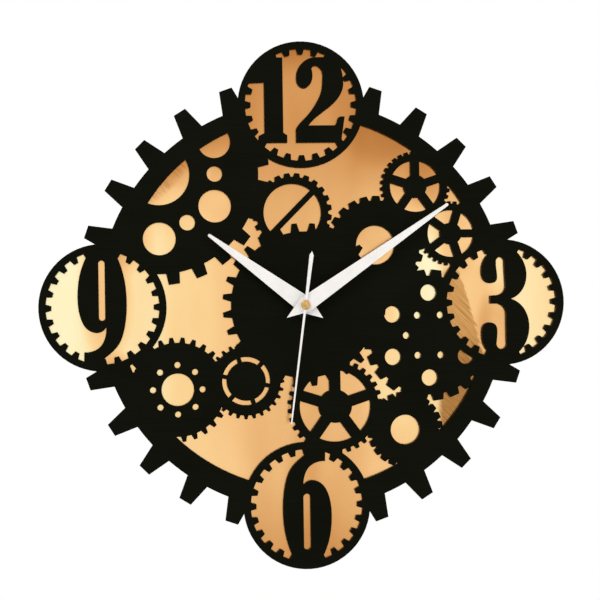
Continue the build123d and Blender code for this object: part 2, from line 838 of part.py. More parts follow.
with BuildPart() as second_hand_hub:
    rod(second_sleeve_r, minute_tube_front + play, second_hub_rear)
    rod(second_hub_r, second_hub_rear, second_hub_rear + second_hub_t)
    fillet(second_hand_hub.edges().sort_by(Axis.Y)[0], second_hub_t / 2)
    rod(second_arbor_r + seat_gap, minute_tube_front + play, second_arbor_front, mode=Mode.SUBTRACT)
save(second_hand_hub, "second_hand_hub")

# Wheels that carry the hands: each wheel turns with its own tube or arbor
with BuildPart() as hour_wheel:
    toothed_rod(train_face(hour_wheel_teeth, hour_module, hour_turn), hour_wheel_rear, wheel_t)
    rod(hour_tube_r, hour_wheel_rear, hour_tube_front)
    rod(minute_tube_r + running_gap, hour_wheel_rear, hour_tube_front, mode=Mode.SUBTRACT)
save(hour_wheel, "hour_wheel")

with BuildPart() as minute_wheel:
    toothed_rod(train_face(centre_wheel_teeth, centre_module, 0), centre_wheel_rear, wheel_t)
    toothed_rod(
        train_face(minute_pinion_teeth, motion_module, 0),
        centre_wheel_rear + wheel_t,
        wheel_step + pinion_lap,
    )
    rod(minute_tube_r, centre_wheel_rear, minute_tube_front)
    rod(second_arbor_r + running_gap, centre_wheel_rear, minute_tube_front, mode=Mode.SUBTRACT)
save(minute_wheel, "minute_wheel")

with BuildPart() as second_wheel:
    toothed_rod(train_face(second_wheel_teeth, second_module, 0), second_wheel_rear, wheel_t)
    toothed_rod(
        train_face(second_pinion_teeth, third_module, second_pinion_turn),
        second_wheel_rear + wheel_t,
        wheel_step + pinion_lap,
    )
    rod(second_arbor_r, pivot_rear, second_arbor_front)
save(second_wheel, "second_wheel")

# Reduction wheels between the motor, the second hand, the minute hand and the hour hand
with BuildPart() as third_wheel:
    toothed_rod(train_face(third_wheel_teeth, third_module, 0), third_wheel_rear, wheel_t, third_at)
    toothed_rod(
        train_face(third_pinion_teeth, centre_module, third_pinion_turn),
        third_wheel_rear + wheel_t,
        wheel_step + pinion_lap,
        third_at,
    )
    rod(wheel_arbor_r, pivot_rear, third_boss_rear + pivot_length, third_at)
save(third_wheel, "third_wheel")

with BuildPart() as intermediate_wheel:
    toothed_rod(
        train_face(intermediate_wheel_teeth, rotor_module, 0),
        intermediate_wheel_rear,
        wheel_t,
        intermediate_at,
    )
    toothed_rod(
        train_face(intermediate_pinion_teeth, second_module, intermediate_pinion_turn),
        intermediate_wheel_rear + wheel_t,
        wheel_step + pinion_lap,
        intermediate_at,
    )
    rod(wheel_arbor_r, pivot_rear, intermediate_boss_rear + pivot_length, intermediate_at)
save(intermediate_wheel, "intermediate_wheel")

with BuildPart() as motion_wheel:
    toothed_rod(
        train_face(motion_wheel_teeth, motion_module, motion_turn), motion_wheel_rear, wheel_t, motion_at
    )
    toothed_rod(
        train_face(motion_pinion_teeth, hour_module, 0), motion_wheel_rear + wheel_t, wheel_step, motion_at
    )
    rod(motion_post_r + running_gap, motion_wheel_rear, case_floor, motion_at, mode=Mode.SUBTRACT)
save(motion_wheel, "motion_wheel")

# Rotor of the step motor
with BuildPart() as rotor_pinion:
    toothed_rod(
        train_face(rotor_pinion_teeth, rotor_module, rotor_turn),
        intermediate_wheel_rear - pinion_lap,
        wheel_t + 2 * pinion_lap,
        rotor_at,
    )
    rod(rotor_arbor_r, pivot_rear, rotor_boss_rear + pivot_length, rotor_at)
save(rotor_pinion, "rotor_pinion")

with BuildPart() as rotor_magnet:
    rod(magnet_r, magnet_rear, magnet_rear + magnet_t, rotor_at)
    rod(rotor_arbor_r + seat_gap, magnet_rear, magnet_rear + magnet_t, rotor_at, mode=Mode.SUBTRACT)
save(rotor_magnet, "rotor_magnet")

# Iron loop of the step motor: the rotor turns in its lower bar and the coil sits on its upper bar
with BuildPart() as stator:
    with BuildSketch(facing(stator_rear)):
        with Locations((pole_left, pole_bottom)):
            Rectangle(2 * pole_half_w, core_top - pole_bottom, align=Align.MIN)
        with Locations((leg_left, rotor_at[1])):
            Rectangle(pole_left - leg_left, stator_bar, align=(Align.MIN, Align.CENTER))
        with Locations((leg_left, core_z)):
            Rectangle(pole_left - leg_left, core_w, align=(Align.MIN, Align.CENTER))
        with Locations((leg_left, rotor_at[1] - stator_bar / 2)):
            Rectangle(stator_leg_w, core_top - rotor_at[1] + stator_bar / 2, align=Align.MIN)
        with Locations(rotor_at):
            Circle(magnet_r + magnet_air_gap, mode=Mode.SUBTRACT)
        with Locations(*stator_posts):
            Circle(pin_r + seat_gap, mode=Mode.SUBTRACT)
    extrude(amount=stator_t)
save(stator, "stator")

# Coil on the upper bar
bobbin_left = pole_left - coil_length
with BuildPart() as coil_bobbin:
    for start, radius, length in (
        (bobbin_left + side_gap, bobbin_flange_r, bobbin_flange_t),
        (bobbin_left + side_gap, bobbin_r, coil_length - 2 * side_gap),
        (pole_left - side_gap - bobbin_flange_t, bobbin_flange_r, bobbin_flange_t),
    ):
        with BuildSketch(Plane.YZ.offset(start)):
            with Locations((-stator_middle, core_z)):
                Circle(radius)
        extrude(amount=length)
    with BuildSketch(Plane.YZ.offset(bobbin_left)):
        with Locations((-stator_middle, core_z)):
            Rectangle(stator_t + 2 * seat_gap, core_w + 2 * seat_gap)
    extrude(amount=coil_length, mode=Mode.SUBTRACT)
save(coil_bobbin, "coil_bobbin")

with BuildPart() as coil_winding:
    with BuildSketch(Plane.YZ.offset(bobbin_left + side_gap + bobbin_flange_t)):
        with Locations((-stator_middle, core_z)):
            Circle(coil_r)
            Circle(bobbin_r + seat_gap, mode=Mode.SUBTRACT)
    extrude(amount=coil_length - 2 * (side_gap + bobbin_flange_t))
save(coil_winding, "coil_winding")

# Plate that carries the rear pivots
with BuildPart() as gear_plate:
    plate_half = train_half - side_gap
    block(-plate_half, plate_half, train_bay_bottom + side_gap, plate_half, plate_rear, plate_front)
    for point in board_pins:
        rod(pin_r, board_rear - side_gap, plate_rear, point)
    for point in plate_posts:
        rod(pin_r + seat_gap, plate_rear, plate_front, point, mode=Mode.SUBTRACT)
    for point, radius in (
        ((0, 0), second_arbor_r),
        (third_at, wheel_arbor_r),
        (intermediate_at, wheel_arbor_r),
        (rotor_at, rotor_arbor_r),
        (knob_at, knob_arbor_r),
    ):
        rod(radius + running_gap, plate_rear, plate_front, point, mode=Mode.SUBTRACT)
save(gear_plate, "gear_plate")

# Circuit board on the back of the plate, with its timing chip and crystal
with BuildPart() as circuit_board:
    block(board_right - board_w, board_right, board_right - board_h, board_right, board_rear, plate_rear)
    block(board_right - board_leg_w, board_right, board_bottom, board_right, board_rear, plate_rear)
    for point in board_pins:
        rod(pin_r + seat_gap, board_rear, plate_rear, point, mode=Mode.SUBTRACT)
save(circuit_board, "circuit_board")

with BuildPart() as control_chip:
    rod(chip_r, board_rear - chip_t, board_rear, chip_at)
    fillet(control_chip.edges().sort_by(Axis.Y)[-1], chip_t / 2)
save(control_chip, "control_chip")

with BuildPart() as quartz_crystal:
    with BuildSketch(Plane.YZ.offset(board_right - board_leg_w / 2 - crystal_length / 2)):
        with Locations((crystal_r + seat_gap - board_rear, 0)):
            Circle(crystal_r)
    extrude(amount=crystal_length)
    chamfer(quartz_crystal.edges().sort_by(Axis.X)[-1], crystal_r / 4)
save(quartz_crystal, "quartz_crystal")

# Knob that sets the hands from behind
with BuildPart() as setting_knob:
    rod(knob_r, knob_recess, knob_recess + knob_t, knob_at)
    with BuildSketch(facing(knob_recess)):
        with Locations(knob_at):
            with PolarLocations(knob_r, knob_ribs):
                Circle(knob_rib_r)
    extrude(amount=knob_t)
    rod(knob_arbor_r, knob_recess + knob_t, knob_boss_rear + pivot_length, knob_at)
    toothed_rod(
        train_face(knob_pinion_teeth, motion_module, knob_turn),
        motion_wheel_rear - pinion_lap,
        wheel_t + 2 * pinion_lap,
        knob_at,
    )
save(setting_knob, "setting_knob")

# Case of the movement: a wheel bay behind a cover, and an open battery bay below it
with BuildPart() as movement_case:
    with BuildSketch(facing(0)):
        RectangleRounded(case_w, case_w, case_corner_r)
    extrude(amount=case_depth)
    chamfer(movement_case.faces().sort_by(Axis.Y)[0].outer_wire().edges(), case_edge)
    block(-cover_half, cover_half, battery_bay_top, cover_half, 0, cover_t, mode=Mode.SUBTRACT)
    block(-train_half, train_half, train_bay_bottom, train_half, 0, case_floor, mode=Mode.SUBTRACT)
    block(-cover_half, cover_half, -cover_half, battery_bay_top, 0, case_floor, mode=Mode.SUBTRACT)
    for tail_x in (positive_tail_x, negative_tail_x):
        block(
            tail_x - contact_tail_w / 2 - side_gap,
            tail_x + contact_tail_w / 2 + side_gap,
            battery_bay_top,
            train_bay_bottom,
            tail_rear - side_gap,
            board_rear + side_gap,
            mode=Mode.SUBTRACT,
        )
    block(
        -finger_notch_w / 2, finger_notch_w / 2, -case_half, -cover_half, 0, finger_notch_depth,
        mode=Mode.SUBTRACT,
    )
    for point in plate_posts:
        rod(post_r, plate_front, case_floor, point)
        rod(pin_r, plate_front - pin_length, plate_front, point)
    for point in stator_posts:
        rod(post_r, stator_rear + stator_t, case_floor, point)
        rod(pin_r, stator_rear - side_gap, stator_rear + stator_t, point)
    rod(motion_post_r, motion_wheel_rear - pinion_lap, case_floor, motion_at)
    for point, radius, boss_rear in (
        (third_at, wheel_arbor_r, third_boss_rear),
        (intermediate_at, wheel_arbor_r, intermediate_boss_rear),
        (rotor_at, rotor_arbor_r, rotor_boss_rear),
        (knob_at, knob_arbor_r, knob_boss_rear),
    ):
        rod(radius + running_gap + boss_wall, boss_rear, case_floor, point)
        hole_front = boss_rear + pivot_length + side_gap
        rod(radius + running_gap, boss_rear, hole_front, point, mode=Mode.SUBTRACT)
    rod(bush_r + seat_gap, case_floor, case_depth, mode=Mode.SUBTRACT)
    rod(bush_flange_r + seat_gap, case_floor, case_floor + bush_flange_t, mode=Mode.SUBTRACT)
save(movement_case, "movement_case")

# Cover over the wheel bay, with a round hole for the setting knob
with BuildPart() as movement_cover:
    cover_edge = cover_half - side_gap
    block(-cover_edge, cover_edge, battery_bay_top + side_gap, cover_edge, 0, cover_t)
    rod(knob_r + knob_rib_r + knob_hole_gap, 0, cover_t, knob_at, mode=Mode.SUBTRACT)
save(movement_cover, "movement_cover")

# Battery and its two contacts
with BuildPart() as battery:
    for start, radius, length in (
        (battery_right - battery_length, battery_r, battery_length),
        (battery_right, battery_nub_r, battery_nub_t),
    ):
        with BuildSketch(Plane.YZ.offset(start)):
            with Locations((-battery_depth, battery_z)):
                Circle(radius)
        extrude(amount=length)
    rims = battery.edges().filter_by(GeomType.CIRCLE).sort_by(SortBy.RADIUS)[-2:]
    chamfer(rims, battery_edge)
save(battery, "battery")

with BuildPart() as positive_contact:
    contact(contact_face, contact_face + contact_t, positive_tail_x)
save(positive_contact, "positive_contact")

with BuildPart() as negative_contact:
    contact(-contact_face - contact_t, -contact_face, negative_tail_x)
    with BuildSketch(Plane.YZ.offset(-contact_face)):
        with Locations((-battery_depth, battery_z)):
            Circle(spring_r)
    extrude(amount=spring_t)
save(negative_contact, "negative_contact")
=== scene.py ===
"""Finishes, small marks, light and camera for the gear wall clock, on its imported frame.

Lengths are in metres, and places in the dial's plane are given as x and z.
"""

import json
import math

import bmesh
import bpy
from mathutils import Matrix, Vector


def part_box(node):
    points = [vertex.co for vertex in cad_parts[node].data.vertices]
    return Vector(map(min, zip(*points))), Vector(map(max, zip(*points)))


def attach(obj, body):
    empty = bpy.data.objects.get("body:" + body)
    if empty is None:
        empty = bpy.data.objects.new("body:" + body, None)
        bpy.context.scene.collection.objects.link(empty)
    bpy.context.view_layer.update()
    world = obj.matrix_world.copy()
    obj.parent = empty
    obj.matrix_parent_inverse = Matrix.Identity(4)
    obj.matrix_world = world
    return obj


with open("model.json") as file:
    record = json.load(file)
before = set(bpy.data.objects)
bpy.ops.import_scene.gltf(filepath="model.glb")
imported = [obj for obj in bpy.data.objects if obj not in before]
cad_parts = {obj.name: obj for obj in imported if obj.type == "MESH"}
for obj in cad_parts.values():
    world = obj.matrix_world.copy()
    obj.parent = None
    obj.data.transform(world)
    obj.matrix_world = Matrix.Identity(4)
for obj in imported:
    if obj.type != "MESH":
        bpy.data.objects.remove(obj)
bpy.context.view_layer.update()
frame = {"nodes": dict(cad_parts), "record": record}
nodes = frame["nodes"]

# The view: from a little left of the dial's axis, and the clock hangs a little askew
VIEW_DISTANCE = 1.18  # from the panel's face
VIEW_WIDTH = 0.3409  # seen at the panel's face
VIEW_AIM = (-0.0023, 0.0028)  # the place on the panel's face that it looks at
VIEW_YAW = math.radians(5.35)
VIEW_PITCH = math.radians(0.65)
VIEW_ROLL = math.radians(-0.88)
SENSOR_WIDTH = 36.0  # millimetres
FLOOR_LEVEL = -0.42
FLOOR_RADIUS = 1.3
FLOOR_FADE = (0.4, 0.95)  # where the floor starts and stops fading, as shares of its radius
WORLD_LIGHT = 0.55  # how bright the surroundings are as light, where white is 1
LAMP_SIZE = 1.4
LAMPS = (  # name, place and power
    ("key", (-0.9, -1.7, 1.4), 22.0),
    ("fill", (1.5, -1.5, 0.4), 10.0),
    ("rear", (0.7, 1.8, 1.2), 20.0),
)
MARK_HEIGHT = 0.00004  # of printed marks above their face
MARK_SINK = 0.0001  # how far they reach into it
MARK_SOFT = 0.3 * MARK_HEIGHT  # bevel of their edges
LATCH_SOFT = 0.00012  # bevel of the case's latches

# Sockets of a colour mix, and samples of a bevel that is only shaded
MIX_FACTOR, MIX_FIRST, MIX_SECOND, MIX_RESULT = 0, 6, 7, 2
BEVEL_SAMPLES = 6

# Reflections painted into the gold film's colour, as soft shapes: middle, half sizes, turn in degrees,
# and how much lighter
PAINTED_REFLECTIONS = (
    ((-0.112, 0.010), (0.018, 0.055), 0, -0.27),
    ((-0.098, 0.036), (0.016, 0.020), 0, -0.16),
    ((-0.107, -0.038), (0.014, 0.016), 0, -0.32),
    ((0.098, 0.004), (0.014, 0.036), 0, -0.19),
    ((0.111, -0.025), (0.0155, 0.042), 0, -0.35),
    ((0.066, 0.012), (0.020, 0.038), 0, 0.18),
    ((0.088, 0.036), (0.014, 0.030), 0, -0.15),
    ((0.071, 0.068), (0.014, 0.022), 0, -0.15),
    ((0.052, -0.034), (0.022, 0.050), 0, 0.14),
    ((0.043, 0.042), (0.018, 0.022), 0, -0.12),
    ((-0.002, 0.106), (0.030, 0.040), 0, 0.08),
    ((0.045, 0.095), (0.025, 0.022), 0, -0.10),
    ((-0.046, 0.074), (0.018, 0.024), 0, 0.12),
    ((-0.074, 0.059), (0.015, 0.014), 0, 0.06),
    ((-0.079, 0.078), (0.045, 0.012), -45, -0.08),
    ((-0.066, 0.068), (0.024, 0.010), -45, 0.12),
    ((-0.002, -0.108), (0.014, 0.050), 0, -0.08),
)


def tint(red, green, blue):
    """A colour given in screen steps of 0 to 255, as the shader takes it."""
    steps = [step / 255 for step in (red, green, blue)]
    return [s / 12.92 if s <= 0.04045 else ((s + 0.055) / 1.055) ** 2.4 for s in steps] + [1.0]


class Finish:
    """A node material with one main shader, and short calls for the nodes that vary it.

    Each material's function calls its finish f.
    """

    def __init__(self, name, **settings):
        self.material = bpy.data.materials.new(name)
        self.material.use_nodes = True
        self.tree = self.material.node_tree
        self.shader = self.tree.nodes["Principled BSDF"]
        for socket, value in settings.items():
            self.shader.inputs[socket.replace("_", " ")].default_value = value
        coordinates = self.tree.nodes.new("ShaderNodeTexCoord")
        self.place = coordinates.outputs["Object"]
        self.normal = coordinates.outputs["Normal"]
        self.x, self.y, self.z = self.split(self.place)

    def node(self, kind, settings=(), **sockets):
        """A new node, with its settings and with each named socket linked or set."""
        node = self.tree.nodes.new("ShaderNode" + kind)
        for setting, value in dict(settings).items():
            setattr(node, setting, value)
        for socket, value in sockets.items():
            self.plug(node.inputs[socket.replace("_", " ")], value)
        return node

    def plug(self, socket, value):
        """Links a socket to another node's output, or sets it to a plain value."""
        if isinstance(value, bpy.types.NodeSocket):
            self.tree.links.new(value, socket)
        else:
            socket.default_value = value

    def split(self, vector):
        """The three parts of a vector."""
        return self.node("SeparateXYZ", Vector=vector).outputs

    def math(self, operation, first, second=0.0):
        """The result of an operation on one or two values."""
        node = self.node("Math", {"operation": operation})
        self.plug(node.inputs[0], first)
        self.plug(node.inputs[1], second)
        return node.outputs[0]

    def total(self, *terms):
        """The sum of terms, each a value or a (value, weight) pair."""
        result = 0.0
        for term in terms:
            value, weight = term if isinstance(term, tuple) else (term, 1.0)
            node = self.node("Math", {"operation": "MULTIPLY_ADD"})
            for socket, part in zip(node.inputs, (value, weight, result)):
                self.plug(socket, part)
            result = node.outputs[0]
        return result

    def spread(self, value, start, end, low=0.0, high=1.0):
        """Goes smoothly from low at start to high at end."""
        node = self.node("MapRange", {"interpolation_type": "SMOOTHSTEP"}, Value=value)
        for socket, part in zip(node.inputs[1:5], (start, end, low, high)):
            self.plug(socket, part)
        return node.outputs[0]

    def local(self, size, centre=(0, 0, 0), turn=0.0):
        """Coordinates about a centre, turned about the hands' axis, in units of size."""
        size = size if isinstance(size, tuple) else (size, size, size)
        return self.node(
            "Mapping", {"vector_type": "TEXTURE"},
            Vector=self.place, Location=centre, Rotation=(0, turn, 0), Scale=size,
        ).outputs["Vector"]

    def noise(self, size, detail=2.0, turn=0.0):
        """Noise from 0 to 1 with cells of that size in metres."""
        where = self.local(size, turn=turn)
        return self.node("TexNoise", Vector=where, Scale=1.0, Detail=detail).outputs[0]

    def cells(self, size):
        """A random value for each of many cells of that size."""
        colour = self.node("TexVoronoi", Vector=self.local(size), Scale=1.0).outputs["Color"]
        return self.split(colour)[0]

    def patch(self, centre, size, turn):
        """1 in the middle of an ellipse in the dial's plane, 0 outside it."""
        where = self.local((size[0], 1.0, size[1]), (centre[0], 0.0, centre[1]), turn)
        node = self.node("TexGradient", {"gradient_type": "SPHERICAL"}, Vector=where)
        return node.outputs["Fac"]

    def waves(self, value, pitch):
        """From 0 to 1 and back once in each pitch."""
        angle = self.math("MULTIPLY", value, math.tau / pitch)
        return self.total((self.math("SINE", angle), 0.5), 0.5)

    def band(self, value, middle, half_width):
        """1 within half a width of the middle, 0 outside it."""
        node = self.node("Math", {"operation": "COMPARE"})
        for socket, part in zip(node.inputs, (value, middle, half_width)):
            self.plug(socket, part)
        return node.outputs[0]

    def distance(self, *coordinates):
        """How far from an axis, given as two (coordinate, middle) pairs."""
        squares = [
            self.math("POWER", self.math("SUBTRACT", value, middle), 2.0)
            for value, middle in coordinates
        ]
        return self.math("SQRT", self.total(*squares))

    def across(self, axis):
        """How far a face looks along an axis, 0 to 1 either way."""
        return self.math("ABSOLUTE", self.split(self.normal)[axis])

    def rounded(self, reach):
        """The normal of a surface whose edges look rounded by the reach."""
        return self.node("Bevel", {"samples": BEVEL_SAMPLES}, Radius=reach).outputs["Normal"]

    def edges(self, reach):
        """1 on sharp edges, falling to 0 within the reach."""
        plain = self.node("NewGeometry").outputs["True Normal"]
        likeness = self.node("VectorMath", {"operation": "DOT_PRODUCT"})
        self.plug(likeness.inputs[0], self.rounded(reach))
        self.plug(likeness.inputs[1], plain)
        return self.spread(likeness.outputs["Value"], 0.995, 0.85)

    def ramp(self, value, *stops):
        """A colour that runs through (place, colour) stops."""
        node = self.node("ValToRGB", Fac=value)
        while len(node.color_ramp.elements) < len(stops):
            node.color_ramp.elements.new(1.0)
        for element, (place, colour) in zip(node.color_ramp.elements, stops):
            element.position = place
            element.color = colour
        return node.outputs["Color"]

    def blend(self, factor, first, second):
        """A colour between two, the first where the factor is 0 and the second where it is 1."""
        node = self.node("Mix", {"data_type": "RGBA"})
        self.plug(node.inputs[MIX_FACTOR], factor)
        self.plug(node.inputs[MIX_FIRST], first)
        self.plug(node.inputs[MIX_SECOND], second)
        return node.outputs[MIX_RESULT]

    def done(self, colour, roughness, height=None, depth=0.0, metallic=None, reach=0.0):
        """Links the shader's inputs. Height from 0 to 1 stands for a relief of that depth in metres."""
        self.plug(self.shader.inputs["Base Color"], colour)
        self.plug(self.shader.inputs["Roughness"], roughness)
        if metallic is not None:
            self.plug(self.shader.inputs["Metallic"], metallic)
        if height is not None:
            bump = self.node("Bump", Height=height, Distance=depth)
            if reach:
                self.plug(bump.inputs["Normal"], self.rounded(reach))
            self.plug(self.shader.inputs["Normal"], bump.outputs["Normal"])
        return self.material


def black_wood():
    """Matt black paint over faint grain, with scorched walls where the sheet is cut through."""
    f = Finish("black_wood", Specular_IOR_Level=0.02)
    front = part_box("front_panel")[0].y
    grain = f.noise((0.03, 0.03, 0.0007), 4.0)
    mottle = f.noise(0.035, 3.0)
    paint = f.ramp(
        f.total((grain, 0.5), (mottle, 0.5)),
        (0.3, (0.0030, 0.0034, 0.0013, 1)), (0.7, (0.0056, 0.0060, 0.0030, 1)),
    )
    burn = f.ramp(
        f.total((f.noise((0.0009, 0.02, 0.0009), 3.0), 0.6), (f.noise(0.012, 2.0), 0.4)),
        (0.3, (0.012, 0.004, 0.0015, 1)),
        (0.5, (0.05, 0.018, 0.006, 1)),
        (0.72, (0.13, 0.055, 0.02, 1)),
    )
    ragged = f.total(f.y, (f.noise(0.0012, 2.0), 0.0005))
    below_paint = f.spread(ragged, front + 0.0004, front + 0.0009)
    wall = f.math("MULTIPLY", f.spread(f.across(1), 0.75, 0.35), below_paint)
    roughness = f.total((mottle, 0.16), (grain, 0.1), 0.52)
    relief = f.total((grain, 0.75), (f.noise(0.0004, 2.0), 0.25))
    return f.done(f.blend(wall, paint, burn), roughness, relief, 0.00003)


def painted_reflection_tone(f):
    """Painted reflection in the gold film's colour: how light it looks, as if it mirrored a room that
    is pale at both sides and dim above.
    """
    side = f.math("ABSOLUTE", f.x)
    upper = f.spread(f.total(f.z, (side, 0.15)), 0.04, 0.11)
    flank = f.math("MULTIPLY", f.spread(side, 0.0, 0.1), f.spread(upper, 0.0, 1.0, 0.36, 0.0))
    shapes = [
        (f.spread(f.patch(middle, half_size, math.radians(turn)), 0.0, 0.6), lighter)
        for middle, half_size, turn, lighter in PAINTED_REFLECTIONS
    ]
    bands = f.noise((0.022, 1.0, 0.07), 1.0)
    top = f.spread(f.z, 0.128, 0.152)
    foot = f.spread(f.z, -0.09, -0.15)
    left = f.spread(f.x, -0.09, -0.14)
    # The flanks, upper part, top, foot, left side, bands and shapes are all painted reflection, lighter
    # or darker, in the film's colour
    return f.total(
        flank, (upper, -0.25), (top, -0.2), (foot, -0.22), (left, 0.13), (bands, 0.24), *shapes, 0.35
    )


def brushed_streak(f, drift):
    """1 where a dull brushed streak runs down the right of the film, with edges that drift."""
    left_edge, right_edge, top_edge = (0.0795, 0.0835), (0.099, 0.0972), (0.021, 0.016)
    lean = 0.28  # of the right edge, which runs outward on its way down
    inner = f.total(f.x, (f.spread(f.z, -0.028, -0.06), 0.003), (drift, 0.002))
    outer = f.total(f.x, (f.z, lean), (drift, 0.006))
    sides = f.math("MULTIPLY", f.spread(inner, *left_edge), f.spread(outer, *right_edge))
    return f.math("MULTIPLY", sides, f.spread(f.z, *top_edge))


def gold_film(f, hairs, streak, slant):
    """The film's colour: gold with a room's reflections painted in, a brushed streak, a nicked place
    and dust.
    """
    # The light and dark golds here are painted reflections of a room, set into the base colour
    gold = f.ramp(
        painted_reflection_tone(f),
        (0.08, tint(186, 121, 62)), (0.26, tint(210, 147, 84)), (0.46, tint(230, 175, 112)),
        (0.6, tint(246, 196, 133)), (0.76, tint(252, 214, 151)), (1.0, tint(255, 248, 204)),
    )
    fine = f.noise((0.02, 1.0, 0.0004), 2.0, slant)
    darker_down = f.spread(f.z, -0.012, -0.034)
    strokes = f.ramp(
        f.total((fine, 1.6), (darker_down, -0.28), -0.3),
        (0.1, tint(154, 106, 56)), (0.3, tint(182, 131, 72)),
        (0.5, tint(206, 153, 89)), (0.7, tint(216, 164, 99)),
    )
    nicked = f.patch((-0.079, 0.073), (0.024, 0.009), -slant)
    nicks = f.math("MULTIPLY", f.spread(nicked, 0.0, 0.45, 0.0, 0.42), f.spread(hairs, 0.46, 0.58))
    film = f.blend(nicks, f.blend(streak, gold, strokes), tint(176, 112, 58))
    dust = f.spread(f.noise(0.0011, 1.0), 0.8, 0.86)
    return f.blend(f.math("MULTIPLY", dust, 0.3), film, tint(232, 206, 160))


def painted_back(f):
    """The colour of the sheet's rear: flat grey paint with fine scuffs two ways."""
    coat = f.ramp(
        f.total((f.noise(0.05, 3.0), 0.5), (f.noise(0.0007, 2.0), 0.5)),
        (0.3, tint(104, 103, 101)), (0.7, tint(120, 119, 117)),
    )
    scuffs = f.math(
        "MAXIMUM", f.spread(f.noise((0.05, 1.0, 0.0012), 2.0, 0.5), 0.66, 0.74),
        f.spread(f.noise((0.03, 1.0, 0.0009), 2.0, -0.9), 0.68, 0.75),
    )
    return f.blend(f.math("MULTIPLY", scuffs, 0.3), coat, tint(168, 166, 163))


def gold_sheet():
    """Gold mirror film with reflections painted into its colour and hairlines from brushing; bare edges
    and a grey painted back.
    """
    f = Finish("gold_sheet")
    slant = math.radians(45)
    hairs = f.noise((0.016, 1.0, 0.0006), 2.0, slant)
    streak = brushed_streak(f, f.noise((0.012, 1.0, 0.002), 2.0, slant))
    front = gold_film(f, hairs, streak, slant)
    edge = f.ramp(f.noise(0.004), (0.3, tint(96, 62, 24)), (0.7, tint(150, 104, 48)))
    back = painted_back(f)
    facing = f.split(f.normal)[1]
    shining = f.spread(facing, -0.5, -0.8)
    colour = f.blend(f.spread(facing, 0.5, 0.8), f.blend(shining, edge, front), back)
    smooth = f.total((hairs, 0.1), (f.noise(0.03, 3.0), 0.12), 0.08)
    roughness = f.total(f.math("MULTIPLY", shining, smooth), (shining, -0.55), 0.55)
    relief = f.total((f.noise(0.05, 1.0), 0.9), (f.math("MULTIPLY", hairs, streak), 0.02))
    return f.done(colour, roughness, relief, 0.0003, shining)


def white_paint():
    """Satin white paint on thin metal, a little worn at the edges."""
    f = Finish("white_paint", Specular_IOR_Level=0.3)
    cloud = f.noise(0.009, 4.0)
    paint = f.ramp(cloud, (0.3, tint(236, 232, 227)), (0.7, tint(244, 240, 236)))
    scuff = f.math("MULTIPLY", f.edges(0.00025), f.spread(f.noise(0.0016, 3.0), 0.5, 0.7))
    relief = f.total((f.noise(0.0005, 2.0), 0.6), (f.noise(0.0025), 0.4))
    return f.done(
        f.blend(f.math("MULTIPLY", scuff, 0.5), paint, tint(176, 172, 166)),
        f.total((cloud, 0.2), 0.3), relief, 0.00001, reach=0.0001,
    )


def brass():
    """Turned brass with fine rings about the hands' axis and dull stains."""
    f = Finish("brass", Metallic=1.0)
    from_axis = f.distance((f.x, 0.0), (f.z, 0.0))
    rings = f.waves(f.total(from_axis, (f.noise(0.0008), 0.00005)), 0.00016)
    stain = f.noise(0.0016, 4.0)
    colour = f.ramp(
        f.total((stain, 0.8), (rings, 0.2)),
        (0.3, tint(176, 132, 76)), (0.55, tint(206, 166, 104)), (0.75, tint(222, 188, 128)),
    )
    return f.done(colour, f.total((stain, 0.25), (rings, 0.08), 0.14), rings, 0.000008, reach=0.00015)


def black_metal():
    """Satin black coat, rubbed through to steel on its sharp edges."""
    f = Finish("black_metal", Specular_IOR_Level=0.12)
    mottle = f.noise(0.002, 4.0)
    coat = f.ramp(mottle, (0.3, (0.004, 0.004, 0.004, 1)), (0.7, (0.009, 0.009, 0.009, 1)))
    rubbed = f.math("MULTIPLY", f.edges(0.0002), f.spread(f.noise(0.0012, 3.0), 0.52, 0.7))
    return f.done(
        f.blend(rubbed, coat, (0.36, 0.35, 0.33, 1)), f.total((mottle, 0.2), 0.42),
        f.noise(0.0003, 2.0), 0.00001, rubbed, 0.00015,
    )


def zinc_steel():
    """Zinc plate with soft spangle, rolling lines and a few scratches."""
    f = Finish("zinc_steel")
    spangle = f.cells((0.004, 0.004, 0.006))
    lines = f.noise((0.0002, 0.0002, 0.03), 2.0)
    scratch = f.spread(f.noise((0.0003, 0.004, 0.012), 1.0, 0.5), 0.72, 0.78)
    shade = f.total((spangle, 0.35), (lines, 0.3), (f.noise(0.012, 3.0), 0.35))
    colour = f.ramp(
        shade,
        (0.2, (0.36, 0.37, 0.39, 1)), (0.5, (0.52, 0.53, 0.55, 1)), (0.8, (0.66, 0.67, 0.68, 1)),
    )
    return f.done(
        f.blend(f.math("MULTIPLY", scratch, 0.5), colour, (0.8, 0.8, 0.8, 1)),
        f.total((spangle, 0.14), (lines, 0.12), 0.22),
        f.total((lines, 0.7), (scratch, -0.3), 0.3), 0.00001,
        f.total((scratch, 0.04), 0.93), 0.0002,
    )


def rubber():
    """Dull black rubber with a dusty bloom."""
    f = Finish("rubber", Specular_IOR_Level=0.25)
    bloom = f.noise(0.004, 5.0)
    colour = f.ramp(bloom, (0.35, (0.012, 0.012, 0.012, 1)), (0.75, (0.04, 0.039, 0.037, 1)))
    return f.done(colour, f.total((bloom, 0.2), 0.68), f.noise(0.0004, 3.0), 0.00004, reach=0.0002)


def moulded(name, low, high, roughness, grain, depth):
    """Moulded plastic with a spark textured skin, a little lighter and shinier along its edges."""
    f = Finish(name, Specular_IOR_Level=0.4)
    cloud = f.noise(0.011, 3.0)
    skin = f.noise(grain, 2.0)
    colour = f.ramp(f.total((cloud, 0.7), (skin, 0.3)), (0.3, low), (0.7, high))
    polished = f.edges(0.0004)
    lighter = [min(1.0, 1.7 * part + 0.012) for part in high[:3]] + [1.0]
    return f.done(
        f.blend(f.math("MULTIPLY", polished, 0.35), colour, lighter),
        f.total((skin, 0.14), (cloud, 0.1), (polished, -0.14), roughness - 0.1),
        skin, depth, reach=0.0003,
    )


